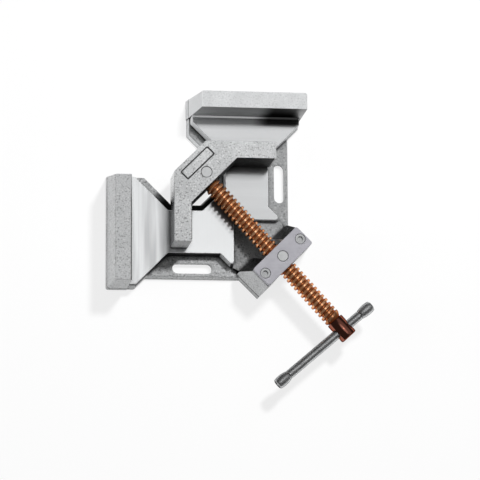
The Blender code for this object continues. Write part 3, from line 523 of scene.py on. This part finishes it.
def carve(obj, tools):
    """Cut tools out of a piece for good, and remove them."""
    for tool in tools:
        modifier = obj.modifiers.new(tool.name, "BOOLEAN")
        modifier.operation = "DIFFERENCE"
        modifier.solver = "EXACT"
        modifier.object = tool
    bpy.context.view_layer.update()
    depsgraph = bpy.context.evaluated_depsgraph_get()
    result = bpy.data.meshes.new_from_object(obj.evaluated_get(depsgraph))
    obj.modifiers.clear()
    obj.data = result
    result.shade_smooth()
    result.set_sharp_from_angle(angle=SHARP)
    for tool in tools:
        bpy.data.objects.remove(tool, do_unlink=True)


def angles(sides):
    """Evenly spaced angles round a circle."""
    return [2.0 * math.pi * side / sides for side in range(sides)]


def bridge(bm, rings, index=0):
    """Join each ring of points to the next with four-sided faces."""
    for first, second in zip(rings, rings[1:]):
        count = len(first)
        for side in range(count):
            after = (side + 1) % count
            face = bm.faces.new((first[side], first[after], second[after], second[side]))
            face.material_index = index


def solid(bm, rings):
    """Join rings of points and close both ends."""
    bridge(bm, rings)
    bm.faces.new(rings[0])
    bm.faces.new(rings[-1])
    return bm


def turned(profile, sides=56, axis="Z"):
    """A bmesh of revolution from (radius, place) points along the Z or Y axis."""
    bm = bmesh.new()
    rings = []
    for radius, place in profile:
        circle = [(radius * math.cos(angle), radius * math.sin(angle)) for angle in angles(sides)]
        rings.append([bm.verts.new((first, second, place) if axis == "Z" else (second, place, first))
                      for first, second in circle])
    return solid(bm, rings)


def corner_run(points):
    """Each corner of an outline with the ones before and after it."""
    corners = [Vector(point) for point in points]
    return zip(corners[-1:] + corners[:-1], corners, corners[1:] + corners[:1])


def offset_outline(points, distance):
    """An outline moved by a distance, each corner along its mitre."""
    moved = []
    for before, here, after in corner_run(points):
        side_in = (here - before).normalized()
        side_out = (after - here).normalized()
        mitre = Vector((side_in.y, -side_in.x)) + Vector((side_out.y, -side_out.x))
        point = here + mitre * (2.0 * distance / mitre.length_squared)
        moved.append((point.x, point.y))
    return moved


def round_corners(points, radius, steps):
    """An outline with each corner replaced by an arc."""
    rounded = []
    for before, here, after in corner_run(points):
        back = (before - here).normalized()
        ahead = (after - here).normalized()
        half = math.acos(max(-1.0, min(1.0, back.dot(ahead)))) / 2.0
        centre = here + (back + ahead).normalized() * (radius / math.sin(half))
        start = here + back * (radius / math.tan(half)) - centre
        end = here + ahead * (radius / math.tan(half)) - centre
        sweep = start.angle_signed(end)
        for step in range(steps + 1):
            arm = Matrix.Rotation(-sweep * step / steps, 2) @ start
            rounded.append((centre.x + arm.x, centre.y + arm.y))
    return rounded


def stacked(outline, levels, radius, steps):
    """A bmesh whose rounded outline is inset by a given amount at each (height, inset) level."""
    bm = bmesh.new()
    rings = []
    for height, inset in levels:
        ring = offset_outline(outline, inset) if inset else outline
        rings.append([bm.verts.new((x, y, height)) for x, y in round_corners(ring, radius, steps)])
    return solid(bm, rings)


def soft_levels(bottom, top, radius, steps=4):
    """Levels of a block whose lower and upper edges are quarter rounds."""
    lower = []
    for step in range(steps + 1):
        angle = math.pi / 2.0 * step / steps
        lower.append((bottom + radius * (1.0 - math.cos(angle)), radius * (1.0 - math.sin(angle))))
    return lower + [(bottom + top - height, inset) for height, inset in reversed(lower)]


def thread_tooth():
    """(place, radius) points of one turn of the thread, its edges a little broken."""
    flank = (PITCH - CREST - ROOT_FLAT) / 2.0
    soft = 0.00022
    climb = soft * flank / (SPINDLE_RADIUS - ROOT_RADIUS)
    foot = CREST + flank
    return [(soft, SPINDLE_RADIUS), (CREST - soft, SPINDLE_RADIUS), (CREST + climb, SPINDLE_RADIUS - soft),
            (foot - climb, ROOT_RADIUS + soft), (foot + soft, ROOT_RADIUS),
            (foot + ROOT_FLAT - soft, ROOT_RADIUS), (foot + ROOT_FLAT + climb, ROOT_RADIUS + soft),
            (PITCH - climb, SPINDLE_RADIUS - soft)]


def thread_bmesh():
    """The spindle along X from the jaw's swivel axis: thread, turned ends and smooth head."""
    bm = bmesh.new()
    sides = TURNED_SIDES
    start = NECK_PLACE - ROOT_FLAT
    turns = math.floor((start - HEAD_FRONT) / PITCH) - 1
    origin = start - PITCH * (turns + 1)

    def point(size, place, angle):
        return bm.verts.new((place, size * math.sin(angle), -size * math.cos(angle)))

    tooth = thread_tooth()
    lead = len(tooth)
    rows = lead * turns + 1
    columns = []
    for side, angle in enumerate(angles(sides)):
        column = []
        for row in range(rows):
            along, size = tooth[row % lead]
            column.append(point(size, origin + PITCH * (row // lead + side / sides) + along, angle))
        columns.append(column)

    head = SPINDLE_RADIUS
    head_profile = [(head - 0.0016, HEAD_END), (head - 0.0008, HEAD_END + 0.0002),
                    (head - 0.0002, HEAD_END + 0.0007), (head, HEAD_END + 0.0014),
                    (head, HEAD_FRONT - 0.0007), (head - 0.0002, HEAD_FRONT - 0.0003),
                    (head - 0.0007, HEAD_FRONT), (ROOT_RADIUS, HEAD_FRONT)]
    neck_profile = [(ROOT_RADIUS, NECK_PLACE), (0.0066, NECK_PLACE), (0.0068, -0.0104), (0.0068, -0.0099),
                    (0.0065, -0.0095), (0.0045, -0.0095), (0.0045, -0.0031), (0.0029, -0.0031),
                    (0.0029, 0.0007), (0.0045, 0.0007), (0.0045, 0.0056), (0.0039, 0.0062)]
    first = [[point(*spot, angle) for angle in angles(sides)] for spot in head_profile]
    last = [[point(*spot, angle) for angle in angles(sides)] for spot in neck_profile]
    bridge(bm, first[:7], 1)
    bridge(bm, first[6:])
    bridge(bm, last)
    for side in range(sides - 1):
        here, after = columns[side], columns[side + 1]
        for row in range(rows - 1):
            bm.faces.new((here[row], after[row], after[row + 1], here[row + 1]))
        bm.faces.new((first[-1][side], first[-1][side + 1], after[0], here[0]))
        bm.faces.new((here[-1], after[-1], last[0][side + 1], last[0][side]))

    # The last column meets the first one turn further on
    end, begin = columns[-1], columns[0]
    for row in range(rows - 1 - lead):
        bm.faces.new((end[row], begin[row + lead], begin[row + lead + 1], end[row + 1]))
    for row in range(lead):
        bm.faces.new((end[0], begin[row], begin[row + 1]))
    bm.faces.new((first[-1][-1], first[-1][0], begin[0], end[0]))
    for row in range(rows - 1 - lead, rows - 1):
        bm.faces.new((begin[-1], end[row + 1], end[row]))
    bm.faces.new((end[-1], begin[-1], last[0][0], last[0][-1]))
    bm.faces.new(first[0]).material_index = 1
    bm.faces.new(last[-1])
    return bm


def build_spindle(plating, head_plating):
    """The spindle, its head cross-drilled with a flared hole."""
    placed = LINE @ Matrix.Translation((PIN_DISTANCE, 0.0, SPINDLE_HEIGHT))
    piece = make("threaded_spindle", thread_bmesh(), [plating, head_plating], "spindle",
                 "spindle", placed)
    bore = BAR_HOLE_RADIUS
    flare = [(0.0072, 0.0105), (bore + 0.0005, 0.0076), (bore, 0.0068), (bore, -0.0068),
             (bore + 0.0005, -0.0076), (0.0072, -0.0105)]
    carve(piece, [make("bar_hole", turned(flare, 40, "Y"), [], transform=STRAIGHT_HUB)])


def build_handle(finish):
    """The sliding bar with a spigot at each end, and its two barrel-shaped knobs."""
    radius = 0.0045
    spigot = 0.0030
    profile = [(spigot, -0.0322), (spigot, -0.0222), (radius - 0.0002, -0.0222), (radius, -0.0219),
               (radius, 0.0689), (radius - 0.0002, 0.0692), (spigot, 0.0692), (spigot, 0.0792)]
    make("sliding_bar", turned(profile, TURNED_SIDES, "Y"), [finish], "handle", "handle_bar", HUB)
    length = 0.0145
    shape = [(0.0034, 0.0), (0.0044, 0.0), (0.0047, 0.0005), (0.00495, 0.0014), (0.00535, 0.0032),
             (0.00565, 0.0054), (0.00578, 0.0078), (0.00574, 0.0102), (0.00555, 0.0121),
             (0.00530, 0.0133), (0.00485, 0.0141), (0.0040, length), (0.0014, length), (0.0009, 0.0141)]
    for side, reach, way in (("long_side", 0.0840, 1.0), ("short_side", -0.0370, -1.0)):
        points = [(size, reach + way * (along - length)) for size, along in shape]
        make("turned_knob_" + side, turned(points, TURNED_SIDES, "Y"), [finish], "handle",
             "handle_knob_" + side, HUB)


def hexagon_reach(angle, apothem):
    """Distance from the middle of a hexagon to its side at an angle."""
    third = math.pi / 3.0
    return apothem / math.cos((angle % third) - third / 2.0)


def build_screw(node, side, finish):
    """A socket screw with a chamfered head and hexagon recess."""
    bm = bmesh.new()
    top = JAW_TOP - GAP
    centre = side * SCREW_REACH

    def ring(radius, height, hexagon=False):
        made = []
        for angle in angles(TURNED_SIDES):
            size = hexagon_reach(angle, radius) if hexagon else radius
            made.append(bm.verts.new((centre + size * math.cos(angle), centre + size * math.sin(angle),
                                      height)))
        return made

    solid(bm, [ring(0.0023, top - 0.0024, True), ring(0.0025, top - 0.0022, True),
               ring(0.0025, top - 0.0003, True), ring(0.0029, top), ring(0.0043, top),
               ring(0.0046, top - 0.0001), ring(0.0048, top - 0.0004), ring(0.0048, JAW_TOP - 0.0042),
               ring(0.0030, JAW_TOP - 0.0042), ring(0.0030, JAW_TOP - 0.0273),
               ring(0.0026, JAW_TOP - 0.0277)])
    make(node.replace("strap_", "socket_"), bm, [finish], "base", node)


def build_strap(finish):
    """The cover strap with its rounded edges and counterbores."""
    half_width = 0.0111
    half_length = 0.0301
    corners = [(-half_width, -half_length), (-half_width, half_length),
               (half_width, half_length), (half_width, -half_length)]
    seat = JAW_TOP - 0.006 + GAP
    bm = stacked(corners, soft_levels(seat, JAW_TOP, 0.0006), 0.0022, 6)
    strap = make("bar_strap", bm, [finish], "base", "cover_strap",
                 Matrix.Rotation(-math.pi / 4.0, 4, "Z"))
    hole = 0.0050 + RUNNING_GAP
    rim = [(hole + 0.0004, JAW_TOP + 0.001), (hole + 0.0003, JAW_TOP), (hole, JAW_TOP - 0.0003),
           (hole, seat - 0.001)]
    bore = [(0.0054, JAW_TOP + 0.001), (0.0053, JAW_TOP), (0.0051, JAW_TOP - 0.0003),
            (0.0051, JAW_TOP - 0.0045), (0.0034, JAW_TOP - 0.0045), (0.0034, seat - 0.001)]
    tools = [make("strap_bore", turned(rim), [])]
    for side in (-SCREW_REACH, SCREW_REACH):
        tools.append(make("counterbore", turned(bore), [], transform=Matrix.Translation((side, side, 0.0))))
    carve(strap, tools)


def jaw_outline():
    """The moving jaw from above: one leg, and its mirror image about the spindle's line."""
    inner = JAW_FACE - LEG_THICKNESS
    line = 0.0111 * math.sqrt(2.0)
    half = [(0.0308 - JAW_FACE, JAW_FACE), (LEG_END, JAW_FACE), (LEG_END, inner), (inner + line, inner)]
    return half + [(-y, -x) for x, y in reversed(half)]


def build_moving_jaw(finish):
    """The L-shaped jaw with rounded cast edges, its bores and the bare panel."""
    place = Matrix.Translation(PIVOT)
    turn = place @ Matrix.Rotation(math.radians(135.0), 4, "Z")
    bm = stacked(jaw_outline(), soft_levels(PAD_TOP + GAP, JAW_TOP, 0.0008), 0.0014, 5)
    jaw = make("cast_moving_jaw", bm, [finish], "jaw", "moving_jaw", place)
    barrel = [(0.0104, PAD_TOP - 0.001), (0.0104, 0.0479)]
    hole = 0.0052 + RUNNING_GAP
    rim = [(hole, 0.0470), (hole, JAW_TOP - 0.0001), (hole + 0.0001, JAW_TOP),
           (hole + 0.0001, JAW_TOP + 0.001)]
    half_mouth = 0.0098
    mouth = stacked([(-0.0222, -0.0106), (-0.0222, 0.0106), (-0.004, 0.0106), (-0.004, -0.0106)],
                    [(SPINDLE_HEIGHT - half_mouth, 0.0), (SPINDLE_HEIGHT + half_mouth, 0.0)], 0.0018, 4)
    panel = [(0.0066, -0.0188), (0.0066, 0.0188), (0.0178, 0.0188), (0.0178, -0.0188)]
    recess = stacked(panel, [(JAW_TOP - 0.0012, 0.0002), (JAW_TOP + 0.001, 0.0)], 0.0018, 4)
    carve(jaw, [make("barrel_bore", turned(barrel), [], transform=place),
                make("trunnion_bore", turned(rim), [], transform=place),
                make("mouth", mouth, [], transform=turn), make("panel", recess, [], transform=turn)])
    plate = stacked(offset_outline(panel, 0.0013),
                    [(JAW_TOP - 0.0014, 0.0), (JAW_TOP - 0.0004, 0.0), (JAW_TOP - 0.0001, 0.0003)], 0.0010, 4)
    make("bare_panel", plate, [finish], "jaw", None, turn)


def build_floor():
    """A plain pale floor that stays near white and keeps a soft shadow."""
    bm = bmesh.new()
    reach = 4.0
    steps = 8
    grid = [[bm.verts.new((reach * (2.0 * column / steps - 1.0), reach * (2.0 * row / steps - 1.0), 0.0))
             for column in range(steps + 1)] for row in range(steps + 1)]
    for row, after in zip(grid, grid[1:]):
        for column in range(steps):
            bm.faces.new((row[column], row[column + 1], after[column + 1], after[column]))
    mesh = bpy.data.meshes.new("floor")
    bm.to_mesh(mesh)
    bm.free()
    floor = bpy.data.objects.new("floor", mesh)
    bpy.context.scene.collection.objects.link(floor)
    tree = Tree("pale_floor")
    tree.finish(grey(0.86), 0.9, 0.0)
    rays = tree.add("ShaderNodeLightPath").outputs
    seen = tree.either(rays["Is Camera Ray"], rays["Is Glossy Ray"], rays["Is Transmission Ray"])
    glow = tree.add("ShaderNodeEmission")
    tree.feed(glow.inputs["Color"], grey(1.0))
    tree.feed(glow.inputs["Strength"], 1.0)
    mixer = tree.add("ShaderNodeMixShader")
    tree.feed(mixer.inputs[0], tree.both(seen, 0.78))
    tree.feed(mixer.inputs[1], tree.shader.outputs[0])
    tree.feed(mixer.inputs[2], glow.outputs[0])
    tree.feed(tree.tree.nodes["Material Output"].inputs["Surface"], mixer.outputs[0])
    mesh.materials.append(tree.material)


def direction(azimuth, elevation):
    """A unit vector, azimuth from +X towards +Y, both in degrees."""
    a = math.radians(azimuth)
    e = math.radians(elevation)
    return Vector((math.cos(a) * math.cos(e), math.sin(a) * math.cos(e), math.sin(e)))


def build_world():
    """A dim studio under soft panels: broad ones behind the upper right, a narrow bright one overhead."""
    world = bpy.data.worlds.new("studio")
    world.use_nodes = True
    tree = world.node_tree
    coords = tree.nodes.new("ShaderNodeTexCoord")
    light = STUDIO_LEVEL
    for azimuth, elevation, inner, outer, level in PANELS:
        toward = tree.nodes.new("ShaderNodeVectorMath")
        toward.operation = "DOT_PRODUCT"
        toward.inputs[1].default_value = direction(azimuth, elevation)
        tree.links.new(coords.outputs["Generated"], toward.inputs[0])
        fade = tree.nodes.new("ShaderNodeMapRange")
        fade.interpolation_type = "SMOOTHSTEP"
        fade.inputs["From Min"].default_value = math.cos(math.radians(outer))
        fade.inputs["From Max"].default_value = math.cos(math.radians(inner))
        fade.inputs["To Max"].default_value = level
        tree.links.new(toward.outputs["Value"], fade.inputs["Value"])
        total = tree.nodes.new("ShaderNodeMath")
        total.operation = "MAXIMUM"
        tree.links.new(fade.outputs["Result"], total.inputs[0])
        if isinstance(light, float):
            total.inputs[1].default_value = light
        else:
            tree.links.new(light, total.inputs[1])
        light = total.outputs["Value"]
    tree.links.new(light, tree.nodes["Background"].inputs["Strength"])
    tree.nodes["Background"].inputs["Color"].default_value = grey(1.0)
    bpy.context.scene.world = world


def build_lamp(name, azimuth, elevation, distance, size, power):
    """A round lamp that looks at the clamp and isn't seen in it."""
    data = bpy.data.lights.new(name, "AREA")
    data.shape = "DISK"
    data.size = size
    data.energy = power
    lamp = bpy.data.objects.new(name, data)
    bpy.context.scene.collection.objects.link(lamp)
    way = direction(azimuth, elevation)
    lamp.visible_glossy = False
    lamp.location = LAMP_AIM + way * distance
    lamp.rotation_euler = way.to_track_quat("Z", "Y").to_euler()


def build_camera():
    """The photograph's view, nearly straight down."""
    back = (CAMERA_PLACE - CAMERA_AIM).normalized()
    right = Vector((0.0, 1.0, 0.0)).cross(back).normalized()
    up = back.cross(right)
    turn = Matrix((right, up, back)).transposed() @ Matrix.Rotation(CAMERA_ROLL, 3, "Z")
    data = bpy.data.cameras.new("camera")
    data.sensor_width = SENSOR_WIDTH
    data.lens = SENSOR_WIDTH * FOCAL_PIXELS / IMAGE_PIXELS
    data.clip_end = 20.0
    camera = bpy.data.objects.new("camera", data)
    camera.matrix_world = Matrix.Translation(CAMERA_PLACE) @ turn.to_4x4()
    bpy.context.scene.collection.objects.link(camera)
    bpy.context.scene.camera = camera


casting = casting_material()
strap_finish = strap_material()
steel = steel_material("zinc_steel", cool(0.40), cool(0.47))
pin_steel = steel_material("turned_pin_steel", cool(0.48), cool(0.56))
copper = copper_material("copper_plating", (0.88, 0.33, 0.115, 1.0), (0.98, 0.54, 0.30, 1.0),
                         (0.16, 0.034, 0.009, 1.0), (0.30, 0.09, 0.04, 1.0), 0.17, 0.82)
head_copper = copper_material("copper_head", (0.40, 0.155, 0.115, 1.0), (0.50, 0.21, 0.155, 1.0),
                              (0.26, 0.09, 0.06, 1.0), (0.02, 0.01, 0.005, 1.0), 0.06, 1.0)

for node, finish in (("base_casting", casting), ("swivel_nut", pin_steel), ("thrust_head", pin_steel),
                     ("neck_dowel_left", steel), ("neck_dowel_right", steel)):
    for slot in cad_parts[node].material_slots:
        slot.material = finish

build_spindle(copper, head_copper)
build_handle(bar_material())
build_screw("strap_screw_left", -1.0, steel)
build_screw("strap_screw_right", 1.0, steel)
build_strap(strap_finish)
build_moving_jaw(jaw_material())

build_floor()
build_world()
build_lamp("key", 58.0, 66.0, 1.6, 0.20, 25.5)
build_lamp("fill", 184.0, 28.0, 1.8, 1.0, 9.0)
build_camera()
bpy.context.scene.view_settings.view_transform = "Standard"
